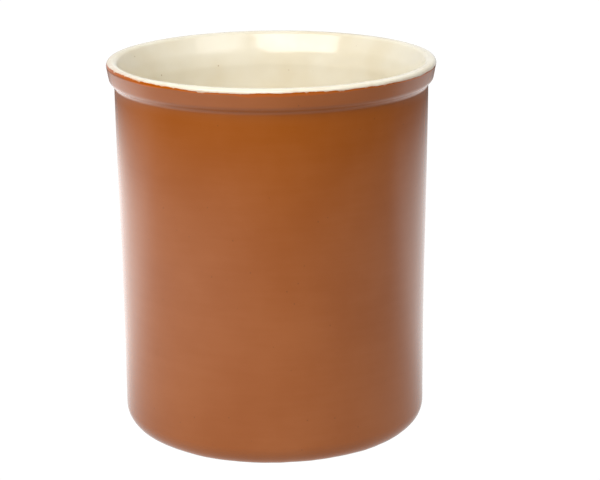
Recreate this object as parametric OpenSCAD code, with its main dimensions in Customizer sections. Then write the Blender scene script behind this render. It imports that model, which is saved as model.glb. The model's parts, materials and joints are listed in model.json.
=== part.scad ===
// Butter crock: one pot of fired clay with a flared collar, brown glaze outside and cream glaze inside.
// Millimetres. +Z is up and the origin is at the middle of the foot, on the table.
// Every outline is straight runs joined by rounded corners. A coat of glaze is the clay's own outline
// moved out by the coat's thickness, so the pieces meet face to face.

/* [Body] */
// Height of the finished crock, from the table to the top of the lip
height = 165; // [120:1:240]
// Outside diameter of the wall above the heel, over the glaze
wall_d = 134.4; // [100:0.2:200]
// Thickness of the wall, both glazes included
wall_t = 5.2; // [4.4:0.1:9]
// Radius that the wall gains between its waist and the collar
wall_spread = 1.3; // [0:0.1:3]
// Height above the table where the wall starts to spread
waist_z = 40; // [15:1:60]
// Radius of the rounded heel
heel_r = 9; // [4:0.5:14]

/* [Floor and foot] */
// Thickness of the floor over the recess, glaze left out
floor_t = 5.6; // [4:0.1:10]
// Depth of the recess under the floor
recess_depth = 1.8; // [0.5:0.1:4]
// Width of the flat ring that the crock stands on
foot_w = 7; // [4:0.5:12]
// Radius of the round corner between the floor and the wall, inside
floor_corner_r = 8; // [3:0.5:16]

/* [Collar and lip] */
// Height of the collar, from the bend in the wall to the top of the lip
collar_h = 10.2; // [9:0.1:16]
// Height of the collar's upright face, from its lower edge to the top of the lip
face_h = 7.8; // [5:0.1:8]
// Lean of the collar's face, out from the upright
face_lean = 11; // [2:1:14]
// How far the top of the face stands out beyond the wall
collar_out = 3.7; // [3:0.1:5]
// Radius of the hollow between the wall and the collar
neck_r = 2.4; // [1.2:0.2:3]
// Radius of the collar's lower edge
edge_r = 2.6; // [1:0.2:3]
// Thickness of the lip
lip_t = 4.7; // [4.2:0.1:6]
// Radius of the lip's outer corner
lip_outer_r = 1.4; // [0.8:0.1:1.8]
// Radius of the lip's inner corner
lip_inner_r = 1.8; // [0.8:0.1:2.2]
// Lean of the flare inside the mouth, out from the upright
flare_lean = 28; // [22:1:34]
// Radius of the throat, where the straight inside wall turns out into the flare
throat_r = 18; // [8:1:18]

/* [Glaze] */
// Thickness of both coats of glaze
glaze_t = 0.4; // [0.3:0.05:0.6]
// Angle round the heel, up from the table, that is left bare of glaze
bare_heel = 26; // [15:1:45]
// Angle round the lip's outer corner, up from level, where the two glazes meet
glaze_meet = 5; // [0:1:40]

/* [Hidden] */
$fn = 180;

arc_steps = 12;
wall_steps = 20;
recess_slope = 2;  // run of the recess's bevelled edge

// The clay, without its coats
clay_h = height - glaze_t;
clay_wall = wall_d / 2 - glaze_t;
clay_top_wall = clay_wall + wall_spread;
clay_inside = wall_d / 2 - wall_t + glaze_t;
clay_rim = clay_top_wall + collar_out;
clay_mouth = clay_rim - lip_t + 2 * glaze_t;
clay_floor = recess_depth + floor_t;
foot_in = clay_wall - heel_r - foot_w;

// The corners before they are rounded, going up the outside and down the inside
foot_pt = [foot_in, 0];
heel_pt = [clay_wall, 0];
neck_pt = [clay_top_wall, height - collar_h];
edge_pt = [clay_rim - face_h * tan(face_lean), clay_h - face_h];
rim_pt = [clay_rim, clay_h];
mouth_pt = [clay_mouth, clay_h];
throat_pt = [clay_inside, clay_h - (clay_mouth - clay_inside) / tan(flare_lean)];
floor_pt = [clay_inside, clay_floor];
middle_pt = [0, clay_floor];

// A rounded corner at b on the way from a to c: its middle, its radius (less than 0 where the clay
// is hollow) and the directions it faces where it starts and ends
function corner(a, b, c, r) =
    let (
        before = (b - a) / norm(b - a),
        after = (c - b) / norm(c - b),
        turn = atan2(before[0] * after[1] - before[1] * after[0], before * after),
        bend = turn > 0 ? r : -r,
        facing = atan2(-before[0], before[1])
    )
    [b - before * bend * tan(turn / 2) - bend * [before[1], -before[0]], bend, facing, facing + turn];

heel = corner(foot_pt, heel_pt, [clay_wall, waist_z], heel_r);
neck = corner([clay_top_wall, waist_z], neck_pt, edge_pt, neck_r);
edge = corner(neck_pt, edge_pt, rim_pt, edge_r);
rim = corner(edge_pt, rim_pt, mouth_pt, lip_outer_r);
mouth = corner(rim_pt, mouth_pt, throat_pt, lip_inner_r);
throat = corner(mouth_pt, throat_pt, floor_pt, throat_r);
floor_corner = corner(throat_pt, floor_pt, middle_pt, floor_corner_r);

// Points round a corner between two directions, coat mm off the clay
function round_off(k, coat, from, to) =
    [for (i = [0:arc_steps])
        let (a = from + (to - from) * i / arc_steps)
        k[0] + (k[1] + coat) * [cos(a), sin(a)]];

function whole(k, coat) = round_off(k, coat, k[2], k[3]);

// 0 at the waist, 1 at the collar, and level at both
function spread(z) =
    let (u = max(0, min(1, (z - waist_z) / (neck_pt[1] - waist_z)))) u * u * (3 - 2 * u);

// The wall from the heel to the neck, coat mm off the clay
function wall_curve(coat) =
    let (top = neck_pt[1] - neck_r)
    [for (i = [1:wall_steps - 1])
        let (z = heel_r + (top - heel_r) * i / wall_steps)
        [clay_wall + wall_spread * spread(z) + coat, z]];

// What the brown glaze covers, from the bare heel up to where the glazes meet
function outside(coat) = concat(
    round_off(heel, coat, bare_heel - 90, 0),
    wall_curve(coat),
    whole(neck, coat),
    whole(edge, coat),
    round_off(rim, coat, rim[2], glaze_meet));

// What the cream glaze covers, over the lip and down to the middle of the floor
function inside(coat) = concat(
    round_off(rim, coat, glaze_meet, rim[3]),
    whole(mouth, coat),
    whole(throat, coat),
    whole(floor_corner, coat),
    [middle_pt + [0, coat]]);

// The bare clay, from the middle of the recess out over the foot ring and round the heel
function underside() = concat(
    [[0, recess_depth], [foot_in - recess_slope, recess_depth], foot_pt],
    round_off(heel, 0, -90, bare_heel - 90));

function backwards(path) = [for (i = [len(path) - 1:-1:0]) path[i]];

module turned(outline) {
    rotate_extrude() polygon(outline);
}

module stoneware_body() {
    color("#C9AE86") turned(concat(underside(), outside(0), inside(0)));
}

module brown_glaze() {
    color("#A35B2A") turned(concat(outside(glaze_t), backwards(outside(0))));
}

module cream_glaze() {
    color("#ECE3C8") turned(concat(inside(glaze_t), backwards(inside(0))));
}

stoneware_body();
brown_glaze();
cream_glaze();
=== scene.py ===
import json
import math

import bmesh
import bpy
from mathutils import Matrix, Vector, noise


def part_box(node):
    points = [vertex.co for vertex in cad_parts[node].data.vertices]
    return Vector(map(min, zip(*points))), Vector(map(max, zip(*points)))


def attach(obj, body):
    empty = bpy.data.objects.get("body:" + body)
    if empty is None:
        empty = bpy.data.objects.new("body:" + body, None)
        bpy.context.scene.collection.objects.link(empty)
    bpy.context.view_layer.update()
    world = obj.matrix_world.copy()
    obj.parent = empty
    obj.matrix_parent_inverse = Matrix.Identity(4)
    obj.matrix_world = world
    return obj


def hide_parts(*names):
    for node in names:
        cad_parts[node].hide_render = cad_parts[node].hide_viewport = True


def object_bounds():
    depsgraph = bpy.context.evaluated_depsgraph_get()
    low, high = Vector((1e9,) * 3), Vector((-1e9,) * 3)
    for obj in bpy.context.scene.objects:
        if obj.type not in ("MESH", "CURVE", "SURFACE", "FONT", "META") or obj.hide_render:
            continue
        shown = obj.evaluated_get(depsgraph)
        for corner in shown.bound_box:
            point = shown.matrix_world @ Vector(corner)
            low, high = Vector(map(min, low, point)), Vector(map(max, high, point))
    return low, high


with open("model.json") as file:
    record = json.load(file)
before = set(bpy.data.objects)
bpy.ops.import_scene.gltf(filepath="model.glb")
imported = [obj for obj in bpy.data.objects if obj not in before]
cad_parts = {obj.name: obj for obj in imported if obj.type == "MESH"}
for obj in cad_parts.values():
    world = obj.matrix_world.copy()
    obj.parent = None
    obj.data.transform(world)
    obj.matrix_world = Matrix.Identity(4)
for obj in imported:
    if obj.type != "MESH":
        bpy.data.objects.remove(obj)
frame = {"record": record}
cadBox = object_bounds()
record = frame["record"]
mm = 0.001
skin = 0.3 * mm    # thickness of a modelled coat of glaze

# sizes that the pieces share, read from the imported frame, in metres
mounts = {m["name"]: m for m in record["mounts"]}
lipTop = cadBox[1].z
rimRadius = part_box("brown_glaze")[1].x
boreRadius = mounts["inside_bore"]["dims"]["r_mm"] * mm
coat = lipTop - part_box("stoneware_body")[1].z
print("frame: lip", round(lipTop, 4), "rim", round(rimRadius, 4), "bore", round(boreRadius, 4))


# outline of the finished pot, in mm
pot = {
    "turns": 384,            # steps round the pot for the glazes
    "wallIn": 4.70,          # the wall stands this far inside the widest line
    "spread": 1.30,          # and gains this much up to the collar
    "straight": 12.0,        # from this height up the wall is free of the heel
    "waist": 40.0,           # from this height up it spreads
    "neckDrop": 10.38,       # corner of the neck below the lip's top
    "edgeDrop": 8.41,        # the collar's lower edge
    "faceLean": 11.0,        # degrees that the collar's face leans out
    "lipWidth": 4.625,       # between the lip's corners before they are rounded
    "flareLean": 28.0,
    "floor": 7.8,
    "recess": 1.8,
    "recessSlope": 2.0,
    "footIn": 50.8,
    "heelRound": 9.4, "neckRound": 2.0, "edgeRound": 3.0,
    "lipRound": 1.8, "mouthRound": 2.2, "throatRound": 18.4, "floorRound": 7.6,
    "recessRound": 1.5, "footRound": 0.6,
}

# the cream glaze's edge on the lip, in mm below the top, by direction round the pot
# 0 faces the front (-Y), 90 faces right (+X)
lipLine = [(-180, 1.4), (-150, 1.6), (-118, 1.1), (-88, 0.7), (-68, 0.45), (-55, 0.5), (-39, 0.95),
           (-24, 1.6), (-12, 1.75), (0, 1.5), (12, 1.35), (26, 1.6), (43, 1.65), (57, 1.8), (80, 1.5),
           (112, 1.7), (145, 1.3)]

# width in mm of the rust line under that edge, in the same directions
rustLine = [(-180, 0.6), (-130, 0.5), (-95, 0.8), (-64, 0.9), (-46, 1.3), (-34, 0.7), (-14, 0.6),
            (-8, 1.2), (12, 1.2), (24, 0.7), (45, 0.5), (62, 0.7), (90, 0.5), (140, 0.8)]


def smooth(u):
    u = max(0.0, min(1.0, u))
    return u * u * (3 - 2 * u)


def heading(co):
    # degrees round the pot, 0 at the front
    return math.degrees(math.atan2(co.x, -co.y))


def roundThePot(line, co):
    # the value that a line of (direction, value) pairs has in this direction
    a = heading(co)
    knots = line + [(180, line[0][1])]
    for (a0, d0), (a1, d1) in zip(knots, knots[1:]):
        if a0 <= a <= a1:
            return d0 + (d1 - d0) * smooth((a - a0) / (a1 - a0))


def lipEdgeDrop(co):
    # the hand-dipped edge: slow waves from lipLine, with fine raggedness
    drop = roundThePot(lipLine, co)
    around = Vector((co.x, co.y, 0)).normalized()
    fine = noise.noise(around * 9) * 0.22 + noise.noise(around * 31 + Vector((5, 0, 0))) * 0.13
    return drop + fine + noise.noise(around * 80 + Vector((0, 7, 0))) * 0.06


def footEdgeLift(co):
    around = Vector((co.x, co.y, 0)).normalized()
    return noise.noise(around * 3 + Vector((2, 2, 2))) * 0.3 + noise.noise(around * 14) * 0.1


def trace(corners):
    # a chain of corners (x, z, radius) in mm in the XZ plane, rounded
    bm = bmesh.new()
    verts = [bm.verts.new((x * mm, 0, z * mm)) for x, z, r in corners]
    for a, b in zip(verts, verts[1:]):
        bm.edges.new((a, b))
    for v, (x, z, r) in zip(verts, corners):
        if r <= 0 or len(v.link_edges) < 2:
            continue
        a, b = [e.other_vert(v).co - v.co for e in v.link_edges]
        turn = math.pi - a.angle(b)
        steps = max(5, min(20, round(r * turn / 0.25)))
        bmesh.ops.bevel(bm, geom=[v], offset=r * mm * math.tan(turn / 2), offset_type="OFFSET",
                        segments=steps, profile=0.5, affect="VERTICES", material=-1)
    return bm


def refine(bm, longest, where=lambda co: True):
    # halves the long edges until none is longer than this
    while True:
        tooLong = [e for e in bm.edges if e.calc_length() > longest * mm
                   and where((e.verts[0].co + e.verts[1].co) / 2)]
        if not tooLong:
            return
        bmesh.ops.subdivide_edges(bm, edges=tooLong, cuts=1)


def cutBelow(bm, z, minX=0.0):
    part = [v for v in bm.verts if v.co.x > minX * mm]
    edges = [e for e in bm.edges if all(v in part for v in e.verts)]
    bmesh.ops.bisect_plane(bm, geom=part + edges, plane_co=(0, 0, z * mm), plane_no=(0, 0, 1),
                           clear_inner=True)


def cutAbove(bm, z):
    bmesh.ops.bisect_plane(bm, geom=bm.verts[:] + bm.edges[:], plane_co=(0, 0, z * mm),
                           plane_no=(0, 0, 1), clear_outer=True)


def throwOnWheel(bm, turns):
    # a sixteenth of a turn first, then copies of it all the way round
    axle = {"axis": (0, 0, 1), "cent": (0, 0, 0)}
    slices = 16
    part = 2 * math.pi / slices
    bmesh.ops.spin(bm, geom=bm.verts[:] + bm.edges[:], angle=part, steps=turns // slices, **axle)
    bmesh.ops.spin(bm, geom=bm.verts[:] + bm.edges[:] + bm.faces[:], angle=part * (slices - 1),
                   steps=slices - 1, use_duplicate=True, **axle)
    bmesh.ops.remove_doubles(bm, verts=bm.verts[:], dist=0.0005 * mm)
    bmesh.ops.recalc_face_normals(bm, faces=bm.faces[:])


def spreadWall(bm, wall):
    # the wall widens a little from its waist to the collar
    neckZ = lipTop / mm - pot["neckDrop"]
    for v in bm.verts:
        z = v.co.z / mm
        if pot["straight"] - 0.1 < z < neckZ - 6 and v.co.x > (wall - 3) * mm:
            gain = pot["spread"] * smooth((z - pot["waist"]) / (neckZ - pot["waist"]))
            v.co.x = (wall + gain) * mm


def movedIn(before, corner, after, off):
    # where a corner (x, z, radius) goes when both its sides move off mm into the clay
    first = Vector((corner[0] - before[0], corner[1] - before[1])).normalized()
    then = Vector((after[0] - corner[0], after[1] - corner[1])).normalized()
    sideA, sideB = Vector((-first.y, first.x)), Vector((-then.y, then.x))
    x, z = Vector(corner[:2]) + off * (sideA + sideB) / (1 + sideA.dot(sideB))
    bend = first.x * then.y - first.y * then.x
    return x, z, corner[2] and corner[2] - math.copysign(off, bend)


def potCorners(off=0.0, lipOff=None):
    # the outside of the finished crock, moved inwards by off mm, and by lipOff at the lip
    top, rim = lipTop / mm, rimRadius / mm
    wall = rim - pot["wallIn"]
    lean = math.radians(pot["faceLean"])
    # the face's own line reaches past the widest line at the top, where the lip is rounded
    lipX = rim + pot["lipRound"] * ((1 + math.sin(lean)) / math.cos(lean) - 1)
    neckZ = top - pot["neckDrop"]
    under = (0, -coat / mm)
    heel = (wall, -coat / mm, pot["heelRound"])
    neck = (wall + pot["spread"], neckZ, pot["neckRound"])
    edge = (lipX - pot["edgeDrop"] * math.tan(lean), top - pot["edgeDrop"], pot["edgeRound"])
    lip = (lipX, top, pot["lipRound"])
    return [
        movedIn(under, heel, (wall, 0), off),
        (wall - off, pot["straight"], 0),
        (neck[0] - off, neckZ - 8, 0),
        movedIn((neck[0], 0), neck, edge, off),
        movedIn(neck, edge, lip, off),
        movedIn(edge, lip, (0, top), off if lipOff is None else lipOff),
    ]


def mouthCorners(off=0.0):
    # the inside, from the lip down to the middle of the floor
    top = lipTop / mm
    lipX = potCorners()[-1][0]
    bore = boreRadius / mm
    mouthX = lipX - pot["lipWidth"]
    throatZ = top - (mouthX - bore) / math.tan(math.radians(pot["flareLean"]))
    mouth = (mouthX, top, pot["mouthRound"])
    throat = (bore, throatZ, pot["throatRound"])
    corner = (bore, pot["floor"], pot["floorRound"])
    middle = (0, pot["floor"])
    return [
        movedIn((lipX, top), mouth, throat, off),
        movedIn(mouth, throat, corner, off),
        movedIn(throat, corner, middle, off),
        (0, pot["floor"] - off, 0),
    ]


# middle of the lip's outer round, about which both glaze edges slide
lipMiddle = Vector((rimRadius, 0, lipTop)) - Vector((1, 0, 1)) * pot["lipRound"] * mm


def slideOnLip(v, degrees):
    radial = Vector((v.co.x, v.co.y, 0))
    out = radial.normalized()
    r, z = radial.length - lipMiddle.x, v.co.z - lipMiddle.z
    a = math.radians(degrees)
    r2, z2 = r * math.cos(a) - z * math.sin(a), r * math.sin(a) + z * math.cos(a)
    v.co = out * (lipMiddle.x + r2) + Vector((0, 0, lipMiddle.z + z2))


def lipAngle(co):
    return math.degrees(math.atan2(co.z - lipMiddle.z, Vector((co.x, co.y, 0)).length - lipMiddle.x))


def edgeAngle(co):
    # direction on the lip's round at which the cream glaze ends
    s = (pot["lipRound"] - lipEdgeDrop(co)) / pot["lipRound"]
    return math.degrees(math.asin(max(-0.95, min(0.95, s))))


def asPiece(bm, name, material, node, sharp=50):
    mesh = bpy.data.meshes.new(name)
    bm.to_mesh(mesh)
    bm.free()
    mesh.shade_smooth()
    mesh.set_sharp_from_angle(angle=math.radians(sharp))
    mesh.materials.append(material)
    piece = bpy.data.objects.new(name, mesh)
    bpy.context.scene.collection.objects.link(piece)
    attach(piece, "root")
    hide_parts(node)
    print(name, len(mesh.polygons), "faces")
    return piece


def pointAttribute(bm, name, value):
    layer = bm.verts.layers.float.new(name)
    for v in bm.verts:
        v[layer] = value(v.co)


def linear(hexColour):
    channels = [int(hexColour[i:i + 2], 16) / 255 for i in (1, 3, 5)]
    return [c / 12.92 if c <= 0.04045 else ((c + 0.055) / 1.055) ** 2.4 for c in channels] + [1.0]


def addNode(tree, kind, settings=None, inputs=None):
    node = tree.nodes.new(kind)
    for key, value in (settings or {}).items():
        setattr(node, key, value)
    for key, value in (inputs or {}).items():
        if isinstance(value, bpy.types.NodeSocket):
            tree.links.new(value, node.inputs[key])
        else:
            node.inputs[key].default_value = value
    return node


def startMaterial(name):
    material = bpy.data.materials.new(name)
    material.use_nodes = True
    tree = material.node_tree
    tree.nodes.clear()
    return material, tree


brown = {
    "deep": "#A65717",        # fired iron slip, where the coat is thick
    "pale": "#AE6026",        # where it is thinner
    "rust": "#C25E00",        # breaks to rust over the lip
    "foot": "#B5763C",        # and fades where it ends above the foot
    "clay": "#DDB493",        # clay showing through nicks in the edge
    "fleck": "#5E3416",       # iron flecks
    "roughness": 0.19,
    "ior": 1.5,
    "strokeShare": 0.25,      # weight of the strokes, where the clouds weigh 1
    # sizes in mm
    "cloudSize": 38.0,        # soft clouds in the coat
    "strokeLong": 32.0,       # strokes round the pot
    "strokeHigh": 3.0,
    "fleckSize": 6.5,         # spacing of flecks
    "raggedSize": 9.0,        # unevenness of the rust line
    "nickSize": 3.4,
    "skinSize": 1.1,          # faint orange peel
    "bare": 0.7,              # height at which the coat ends above the table
    "tuck": 0.3,              # how near the lip's top it reaches, under the cream glaze
    "lipThin": 0.12,          # and how much thinner it is there
    "wave": 0.05,             # slow unevenness of the wall
}


def brownSlipGlaze():
    # albany-type brown slip glaze, dipped and fired: satin, slightly clouded, rust where it runs thin
    material, tree = startMaterial("brownSlipGlaze")
    b = brown
    where = addNode(tree, "ShaderNodeTexCoord").outputs["Object"]
    clouds = addNode(tree, "ShaderNodeTexNoise", None,
                     {"Vector": where, "Scale": 1 / (b["cloudSize"] * mm), "Detail": 4.0, "Roughness": 0.55})
    # strokes left by the turning pot: long round it, a few mm high
    perLong, perHigh = 1 / (b["strokeLong"] * mm), 1 / (b["strokeHigh"] * mm)
    turned = addNode(tree, "ShaderNodeVectorMath", {"operation": "MULTIPLY"},
                     {0: where, 1: (perLong, perLong, perHigh)})
    strokes = addNode(tree, "ShaderNodeTexNoise", None,
                      {"Vector": turned.outputs["Vector"], "Scale": 1.0, "Detail": 3.0, "Roughness": 0.6})
    coatDepth = addNode(tree, "ShaderNodeMath", {"operation": "MULTIPLY_ADD"},
                        {0: strokes.outputs["Fac"], 1: b["strokeShare"], 2: clouds.outputs["Fac"]})
    thick = addNode(tree, "ShaderNodeMapRange", {"interpolation_type": "SMOOTHSTEP"},
                    {"Value": coatDepth.outputs["Value"], "From Min": 0.36, "From Max": 0.89})
    tint = addNode(tree, "ShaderNodeMix", {"data_type": "RGBA"},
                   {"Factor": thick.outputs["Result"], "A": linear(b["deep"]), "B": linear(b["pale"])})
    # flecks about 0.6 mm wide, far apart
    cells = addNode(tree, "ShaderNodeTexVoronoi", {"feature": "F1"},
                    {"Vector": where, "Scale": 1 / (b["fleckSize"] * mm), "Randomness": 1.0})
    fleckMask = addNode(tree, "ShaderNodeMapRange", None,
                        {"Value": cells.outputs["Distance"], "From Min": 0.065, "From Max": 0.035,
                         "To Min": 0.0, "To Max": 0.4})
    flecked = addNode(tree, "ShaderNodeMix", {"data_type": "RGBA"},
                      {"Factor": fleckMask.outputs["Result"], "A": tint.outputs["Result"],
                       "B": linear(b["fleck"])})
    # rust under the lip's edge: rustReach counts widths of the rust line down from that edge
    ragged = addNode(tree, "ShaderNodeTexNoise", None,
                     {"Vector": where, "Scale": 1 / (b["raggedSize"] * mm), "Detail": 5.0, "Roughness": 0.65})
    lipGap = addNode(tree, "ShaderNodeAttribute", {"attribute_name": "lipGap"})
    rustReach = addNode(tree, "ShaderNodeAttribute", {"attribute_name": "rustReach"})
    reach = addNode(tree, "ShaderNodeMath", {"operation": "MULTIPLY_ADD"},
                    {0: ragged.outputs["Fac"], 1: -0.8, 2: rustReach.outputs["Fac"]})
    rustMask = addNode(tree, "ShaderNodeMapRange", {"interpolation_type": "SMOOTHSTEP"},
                       {"Value": reach.outputs["Value"], "From Min": 1.15, "From Max": 0.65})
    rusted = addNode(tree, "ShaderNodeMix", {"data_type": "RGBA"},
                     {"Factor": rustMask.outputs["Result"], "A": flecked.outputs["Result"],
                      "B": linear(b["rust"])})
    footGap = addNode(tree, "ShaderNodeAttribute", {"attribute_name": "footGap"})
    footMask = addNode(tree, "ShaderNodeMapRange", {"interpolation_type": "SMOOTHSTEP"},
                       {"Value": footGap.outputs["Fac"], "From Min": 1.3, "From Max": 0.2,
                        "To Min": 0.0, "To Max": 0.9})
    footed = addNode(tree, "ShaderNodeMix", {"data_type": "RGBA"},
                     {"Factor": footMask.outputs["Result"], "A": rusted.outputs["Result"],
                      "B": linear(b["foot"])})
    # nicks in the edge, where lipGap is the distance in mm below it
    nicks = addNode(tree, "ShaderNodeTexNoise", None,
                    {"Vector": where, "Scale": 1 / (b["nickSize"] * mm), "Detail": 2.0, "Roughness": 0.5})
    nickDepth = addNode(tree, "ShaderNodeMath", {"operation": "MULTIPLY_ADD"},
                        {0: nicks.outputs["Fac"], 1: -3.0, 2: lipGap.outputs["Fac"]})
    nickMask = addNode(tree, "ShaderNodeMapRange", None,
                       {"Value": nickDepth.outputs["Value"], "From Min": -1.55, "From Max": -1.72})
    nicked = addNode(tree, "ShaderNodeMix", {"data_type": "RGBA"},
                     {"Factor": nickMask.outputs["Result"], "A": footed.outputs["Result"],
                      "B": linear(b["clay"])})
    peel = addNode(tree, "ShaderNodeTexNoise", None,
                   {"Vector": where, "Scale": 1 / (b["skinSize"] * mm), "Detail": 2.0})
    pits = addNode(tree, "ShaderNodeMath", {"operation": "MULTIPLY_ADD"},
                   {0: fleckMask.outputs["Result"], 1: -0.5, 2: peel.outputs["Fac"]})
    bump = addNode(tree, "ShaderNodeBump", None,
                   {"Height": pits.outputs["Value"], "Strength": 0.10, "Distance": 0.03 * mm})
    shader = addNode(tree, "ShaderNodeBsdfPrincipled", None,
                     {"Base Color": nicked.outputs["Result"], "Roughness": b["roughness"],
                      "IOR": b["ior"], "Normal": bump.outputs["Normal"]})
    addNode(tree, "ShaderNodeOutputMaterial", None, {"Surface": shader.outputs["BSDF"]})
    return material


cream = {
    "body": "#F6EFDB",
    "pool": "#EEE3C8",        # a little darker where it runs thick
    "thin": "#E9D3BA",        # clay warms it where it runs thin over the lip
    "fleck": "#B79A6C",
    "roughness": 0.13,
    "ior": 1.5,
    # sizes in mm
    "cloudSize": 30.0,
    "fleckSize": 9.0,
    "raggedSize": 7.0,        # unevenness of the thin zone
    "skinSize": 2.4,
    # directions on the lip's round, in degrees up from level
    "edgeAngle": 5.0,         # where the coat is first cut off
    "slideUpTo": 75.0,        # where the pull that makes its edge ragged fades out
}


def creamLinerGlaze():
    # white liner glaze, poured in and fired: glossy, warm, thin and pinkish at its edge on the lip
    material, tree = startMaterial("creamLinerGlaze")
    c = cream
    where = addNode(tree, "ShaderNodeTexCoord").outputs["Object"]
    clouds = addNode(tree, "ShaderNodeTexNoise", None,
                     {"Vector": where, "Scale": 1 / (c["cloudSize"] * mm), "Detail": 3.0, "Roughness": 0.5})
    thick = addNode(tree, "ShaderNodeMapRange", {"interpolation_type": "SMOOTHSTEP"},
                    {"Value": clouds.outputs["Fac"], "From Min": 0.25, "From Max": 0.65})
    tint = addNode(tree, "ShaderNodeMix", {"data_type": "RGBA"},
                   {"Factor": thick.outputs["Result"], "A": linear(c["pool"]), "B": linear(c["body"])})
    cells = addNode(tree, "ShaderNodeTexVoronoi", {"feature": "F1"},
                    {"Vector": where, "Scale": 1 / (c["fleckSize"] * mm), "Randomness": 1.0})
    fleckMask = addNode(tree, "ShaderNodeMapRange", None,
                        {"Value": cells.outputs["Distance"], "From Min": 0.05, "From Max": 0.03,
                         "To Min": 0.0, "To Max": 0.6})
    flecked = addNode(tree, "ShaderNodeMix", {"data_type": "RGBA"},
                      {"Factor": fleckMask.outputs["Result"], "A": tint.outputs["Result"],
                       "B": linear(c["fleck"])})
    ragged = addNode(tree, "ShaderNodeTexNoise", None,
                     {"Vector": where, "Scale": 1 / (c["raggedSize"] * mm), "Detail": 4.0, "Roughness": 0.6})
    edgeGap = addNode(tree, "ShaderNodeAttribute", {"attribute_name": "edgeGap"})
    reach = addNode(tree, "ShaderNodeMath", {"operation": "MULTIPLY_ADD"},
                    {0: ragged.outputs["Fac"], 1: -2.4, 2: edgeGap.outputs["Fac"]})
    thinMask = addNode(tree, "ShaderNodeMapRange", {"interpolation_type": "SMOOTHSTEP"},
                       {"Value": reach.outputs["Value"], "From Min": -0.2, "From Max": -1.2,
                        "To Min": 0.0, "To Max": 0.85})
    thinned = addNode(tree, "ShaderNodeMix", {"data_type": "RGBA"},
                      {"Factor": thinMask.outputs["Result"], "A": flecked.outputs["Result"],
                       "B": linear(c["thin"])})
    peel = addNode(tree, "ShaderNodeTexNoise", None,
                   {"Vector": where, "Scale": 1 / (c["skinSize"] * mm), "Detail": 1.5})
    bump = addNode(tree, "ShaderNodeBump", None,
                   {"Height": peel.outputs["Fac"], "Strength": 0.12, "Distance": 0.03 * mm})
    shader = addNode(tree, "ShaderNodeBsdfPrincipled", None,
                     {"Base Color": thinned.outputs["Result"], "Roughness": c["roughness"],
                      "IOR": c["ior"], "Normal": bump.outputs["Normal"]})
    addNode(tree, "ShaderNodeOutputMaterial", None, {"Surface": shader.outputs["BSDF"]})
    return material


clay = {
    "body": "#C9AD85",
    "sand": "#B2936A",
    "fleck": "#6B4A2C",
    "roughness": 0.85,
    "ior": 1.45,
    "turns": 192,             # steps round the pot
    # sizes in mm
    "grain": 0.7,             # the clay's sand
    "fleckSize": 4.5,
    "rippleWide": 3.1,        # turning marks
    "rippleDeep": 0.16,       # in the recess
    "rippleOnRing": 0.03,     # and on the ring it stands on
}


def bareStoneware():
    # buff stoneware, turned and left bare on the foot: dry, sandy, with iron flecks
    material, tree = startMaterial("bareStoneware")
    c = clay
    where = addNode(tree, "ShaderNodeTexCoord").outputs["Object"]
    sand = addNode(tree, "ShaderNodeTexNoise", None,
                   {"Vector": where, "Scale": 1 / (c["grain"] * mm), "Detail": 3.0, "Roughness": 0.7})
    grit = addNode(tree, "ShaderNodeMapRange", None,
                   {"Value": sand.outputs["Fac"], "From Min": 0.35, "From Max": 0.60})
    tint = addNode(tree, "ShaderNodeMix", {"data_type": "RGBA"},
                   {"Factor": grit.outputs["Result"], "A": linear(c["sand"]), "B": linear(c["body"])})
    cells = addNode(tree, "ShaderNodeTexVoronoi", {"feature": "F1"},
                    {"Vector": where, "Scale": 1 / (c["fleckSize"] * mm), "Randomness": 1.0})
    fleckMask = addNode(tree, "ShaderNodeMapRange", None,
                        {"Value": cells.outputs["Distance"], "From Min": 0.12, "From Max": 0.08,
                         "To Min": 0.0, "To Max": 0.8})
    flecked = addNode(tree, "ShaderNodeMix", {"data_type": "RGBA"},
                      {"Factor": fleckMask.outputs["Result"], "A": tint.outputs["Result"],
                       "B": linear(c["fleck"])})
    bump = addNode(tree, "ShaderNodeBump", None,
                   {"Height": sand.outputs["Fac"], "Strength": 0.5, "Distance": 0.12 * mm})
    shader = addNode(tree, "ShaderNodeBsdfPrincipled", None,
                     {"Base Color": flecked.outputs["Result"], "Roughness": c["roughness"], "IOR": c["ior"],
                      "Normal": bump.outputs["Normal"]})
    addNode(tree, "ShaderNodeOutputMaterial", None, {"Surface": shader.outputs["BSDF"]})
    return material


def makeStoneware():
    thick = coat / mm
    under = [(0, pot["recess"], 0),
             (pot["footIn"] - pot["recessSlope"], pot["recess"], pot["recessRound"]),
             (pot["footIn"], 0, pot["footRound"])]
    bm = trace(under + potCorners(thick) + mouthCorners(thick))
    refine(bm, 1.2, lambda co: co.z < 3 * mm and co.x < 62 * mm)
    refine(bm, 6.0)
    spreadWall(bm, rimRadius / mm - pot["wallIn"] - thick)
    throwOnWheel(bm, clay["turns"])
    # turning marks: a shallow spiral in the recess, fainter on the ring it stands on
    for v in bm.verts:
        r = math.hypot(v.co.x, v.co.y) / mm
        z = v.co.z / mm
        if z < 2.0 and r < 60:
            turn = math.atan2(v.co.y, v.co.x) / (2 * math.pi)
            ripple = 0.5 + 0.5 * math.sin(2 * math.pi * (r / clay["rippleWide"] + turn))
            deep = clay["rippleDeep"] if z > 1 else clay["rippleOnRing"]
            v.co.z += deep * ripple * smooth(r / 4) * mm
    return asPiece(bm, "stonewarePot", bareStoneware(), "stoneware_body")


def belowLipEdge(co):
    # mm below the cream glaze's edge
    return (lipTop - co.z) / mm - lipEdgeDrop(co)


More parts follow.
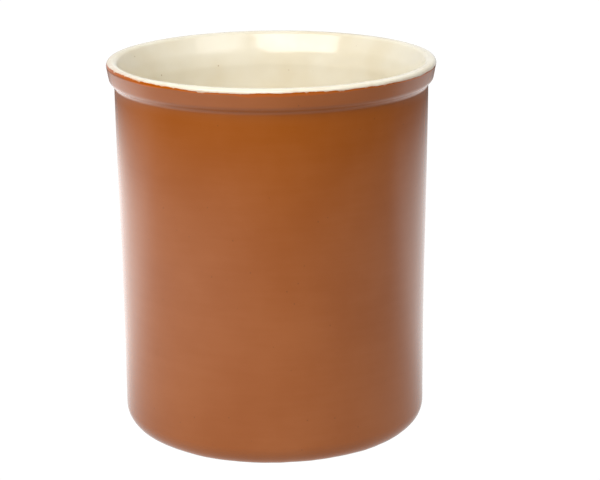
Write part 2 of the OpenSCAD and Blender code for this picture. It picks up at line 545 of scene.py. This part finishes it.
def makeBrownGlaze():
    top = lipTop / mm
    far = 20.0    # stands for anywhere away from an edge
    start = [(pot["footIn"], -coat / mm, 0)]
    bm = trace(start + potCorners(0.0, brown["lipThin"]) + mouthCorners(brown["lipThin"])[:1])
    cutBelow(bm, brown["bare"])
    # keep the outside only, up to a little past the cream glaze's edge
    cutAbove(bm, top - brown["tuck"])
    inner = [v for v in bm.verts if v.co.x < 69 * mm and v.co.z > (top - 4) * mm]
    bmesh.ops.delete(bm, geom=inner, context="VERTS")
    refine(bm, 0.5, lambda co: co.z > (top - 6) * mm or co.z < 3 * mm)
    refine(bm, 4.5)
    spreadWall(bm, rimRadius / mm - pot["wallIn"])
    throwOnWheel(bm, pot["turns"])
    bmesh.ops.solidify(bm, geom=bm.faces[:], thickness=skin)
    for v in bm.verts:
        z = v.co.z / mm
        if z < 6:
            # the coat ends unevenly above the foot
            v.co.z += footEdgeLift(v.co) * smooth((6 - z) / 5) * mm
        if 10 < z < top - 14:
            out = Vector((v.co.x, v.co.y, 0)).normalized()
            soft = noise.noise(Vector((v.co.x * 22, v.co.y * 22, v.co.z * 45)))
            v.co += out * soft * brown["wave"] * mm * smooth((z - 10) / 12) * smooth((top - 14 - z) / 10)
    pointAttribute(bm, "lipGap", lambda co: (min(far, max(-3.0, belowLipEdge(co)))
                                             if co.z > lipTop - 8 * mm else far))
    pointAttribute(bm, "rustReach", lambda co: (belowLipEdge(co) / roundThePot(rustLine, co)
                                                if co.z > lipTop - 6 * mm else far))
    pointAttribute(bm, "footGap", lambda co: (min(far, co.z / mm - brown["bare"] - footEdgeLift(co))
                                              if co.z < 6 * mm else far))
    return asPiece(bm, "brownCoat", brownSlipGlaze(), "brown_glaze")


def makeCreamGlaze():
    top, rim = lipTop / mm, rimRadius / mm
    start, limit = cream["edgeAngle"], cream["slideUpTo"]
    outside = potCorners()[-2:]
    bm = trace([(outside[0][0], outside[0][1], 0), outside[1]] + mouthCorners())
    cutBelow(bm, top - pot["lipRound"] * (1 - math.sin(math.radians(start))), rim - 1.2)
    refine(bm, 0.45, lambda co: co.z > (top - 3) * mm)
    refine(bm, 2.5, lambda co: co.z > (top - 20) * mm)
    refine(bm, 5.0)
    throwOnWheel(bm, pot["turns"])
    bmesh.ops.solidify(bm, geom=bm.faces[:], thickness=skin)

    def onLip(co, width):
        return co.z > lipTop - 3 * mm and math.hypot(co.x, co.y) > (rim - width) * mm

    for v in bm.verts:
        a = lipAngle(v.co)
        if onLip(v.co, 2.4) and a < limit:
            share = (limit - a) / (limit - start)
            slideOnLip(v, (edgeAngle(v.co) - start) * share)
    pointAttribute(bm, "edgeGap", lambda co: max(-3.0, -belowLipEdge(co)) if onLip(co, 2.6) else 8.0)
    return asPiece(bm, "creamCoat", creamLinerGlaze(), "cream_glaze")


makeStoneware()
makeBrownGlaze()
makeCreamGlaze()


studio = {
    "white": 1.03,            # table and room as the eye sees them
    "floorSize": 2.0,         # metres, as all sizes here
    # light that the table gives back: its level, what it gains to the left and behind, and its middle
    "pool": 0.68, "poolLeft": 0.66, "poolBack": 0.6, "poolMiddle": (0, 0.07, 0),
    "poolFade": (0.32, 0.80),
    "leftBox": {"azimuth": -28, "elevation": 46, "distance": 0.85,
                "width": 0.88, "height": 0.52, "power": 8.2},
    "rightBox": {"azimuth": 53, "elevation": 46, "distance": 0.85,
                 "width": 0.46, "height": 0.52, "power": 1.8},
    # the room's own light, by the side it comes from
    "room": {"back": 0.8, "above": 0.1},
    "lens": 120.03,
    "eye": (0, -0.86158, 0.32266),
    "pitch": 15.59, "pan": 0.796, "roll": 0.436,    # degrees
}


def makeFloor():
    bm = bmesh.new()
    bmesh.ops.create_circle(bm, cap_ends=True, radius=studio["floorSize"] / 2, segments=96)
    mesh = bpy.data.meshes.new("studioTable")
    bm.to_mesh(mesh)
    bm.free()
    # paper lit from above: white to the eye, and a pool of light to whatever it lights
    material, tree = startMaterial("whitePaper")
    where = addNode(tree, "ShaderNodeTexCoord").outputs["Object"]
    near, gone = studio["poolFade"]
    reach = addNode(tree, "ShaderNodeVectorMath", {"operation": "DISTANCE"},
                    {0: where, 1: studio["poolMiddle"]})
    fade = addNode(tree, "ShaderNodeMapRange", {"interpolation_type": "SMOOTHSTEP"},
                   {"Value": reach.outputs["Value"], "From Min": near, "From Max": gone,
                    "To Min": 1.0, "To Max": 0.0})
    across = addNode(tree, "ShaderNodeSeparateXYZ", None, {"Vector": where})
    leftward = addNode(tree, "ShaderNodeMapRange", {"interpolation_type": "SMOOTHSTEP"},
                       {"Value": across.outputs["X"], "From Min": 0.10, "From Max": -0.32,
                        "To Min": studio["pool"], "To Max": studio["pool"] + studio["poolLeft"]})
    backward = addNode(tree, "ShaderNodeMapRange", {"interpolation_type": "SMOOTHSTEP"},
                       {"Value": across.outputs["Y"], "From Min": -0.04, "From Max": 0.12,
                        "To Min": 0.0, "To Max": studio["poolBack"]})
    together = addNode(tree, "ShaderNodeMath", {"operation": "ADD"},
                       {0: leftward.outputs["Result"], 1: backward.outputs["Result"]})
    level = addNode(tree, "ShaderNodeMath", {"operation": "MULTIPLY"},
                    {0: fade.outputs["Result"], 1: together.outputs["Value"]})
    pool = addNode(tree, "ShaderNodeEmission", None, {"Strength": level.outputs["Value"]})
    plain = addNode(tree, "ShaderNodeEmission", None, {"Strength": studio["white"]})
    seen = addNode(tree, "ShaderNodeLightPath")
    either = addNode(tree, "ShaderNodeMixShader", None,
                     {0: seen.outputs["Is Camera Ray"], 1: pool.outputs[0], 2: plain.outputs[0]})
    addNode(tree, "ShaderNodeOutputMaterial", None, {"Surface": either.outputs[0]})
    mesh.materials.append(material)
    floor = bpy.data.objects.new("studioTable", mesh)
    floor.location.z = -0.2 * mm    # just under the foot
    bpy.context.scene.collection.objects.link(floor)


def makeSoftbox(name, s):
    az, el = math.radians(s["azimuth"]), math.radians(s["elevation"])
    aim = Vector((0, 0, lipTop))
    way = Vector((math.sin(az) * math.cos(el), -math.cos(az) * math.cos(el), math.sin(el)))
    where = aim + s["distance"] * way
    lamp = bpy.data.lights.new(name, "AREA")
    lamp.shape = "RECTANGLE"
    lamp.size, lamp.size_y = s["width"], s["height"]
    lamp.energy = s["power"]
    box = bpy.data.objects.new(name, lamp)
    box.location = where
    box.rotation_euler = (aim - where).to_track_quat("-Z", "Y").to_euler()
    bpy.context.scene.collection.objects.link(box)


def makeWorld():
    # white to the eye; the light it gives is different on each side
    world = bpy.data.worlds.new("studioRoom")
    bpy.context.scene.world = world
    world.use_nodes = True
    tree = world.node_tree
    tree.nodes.clear()
    direction = addNode(tree, "ShaderNodeTexCoord").outputs["Generated"]
    axes = addNode(tree, "ShaderNodeSeparateXYZ", None, {"Vector": direction})
    level = 0.0
    for axis, side in (("Y", "back"), ("Z", "above")):
        facing = addNode(tree, "ShaderNodeMath", {"operation": "MULTIPLY", "use_clamp": True},
                         {0: axes.outputs[axis], 1: 1.0})
        level = addNode(tree, "ShaderNodeMath", {"operation": "MULTIPLY_ADD"},
                        {0: facing.outputs["Value"], 1: studio["room"][side], 2: level}).outputs["Value"]
    white = (1, 1, 1, 1)
    room = addNode(tree, "ShaderNodeBackground", None, {"Color": white, "Strength": level})
    plain = addNode(tree, "ShaderNodeBackground", None, {"Color": white, "Strength": studio["white"]})
    seen = addNode(tree, "ShaderNodeLightPath")
    either = addNode(tree, "ShaderNodeMixShader", None,
                     {0: seen.outputs["Is Camera Ray"], 1: room.outputs[0], 2: plain.outputs[0]})
    addNode(tree, "ShaderNodeOutputWorld", None, {"Surface": either.outputs[0]})


def makeCamera():
    camera = bpy.data.cameras.new("camera")
    camera.lens = studio["lens"]
    camera.sensor_width = 36.0
    camera.clip_start = 0.01
    eye = bpy.data.objects.new("camera", camera)
    pitch, pan, roll = [math.radians(studio[turn]) for turn in ("pitch", "pan", "roll")]
    forward = Vector((math.sin(pan) * math.cos(pitch), math.cos(pan) * math.cos(pitch), -math.sin(pitch)))
    right = Vector((math.cos(pan), -math.sin(pan), 0))
    up = right.cross(forward)
    tiltRight = math.cos(roll) * right - math.sin(roll) * up
    tiltUp = math.sin(roll) * right + math.cos(roll) * up
    axes = Matrix((tiltRight, tiltUp, -forward)).transposed().to_4x4()
    axes.translation = Vector(studio["eye"])
    eye.matrix_world = axes
    bpy.context.scene.collection.objects.link(eye)
    bpy.context.scene.camera = eye


makeFloor()
makeSoftbox("softboxLeft", studio["leftBox"])
makeSoftbox("softboxRight", studio["rightBox"])
makeWorld()
makeCamera()
bpy.context.scene.view_settings.view_transform = "Standard"
print("studio ready")
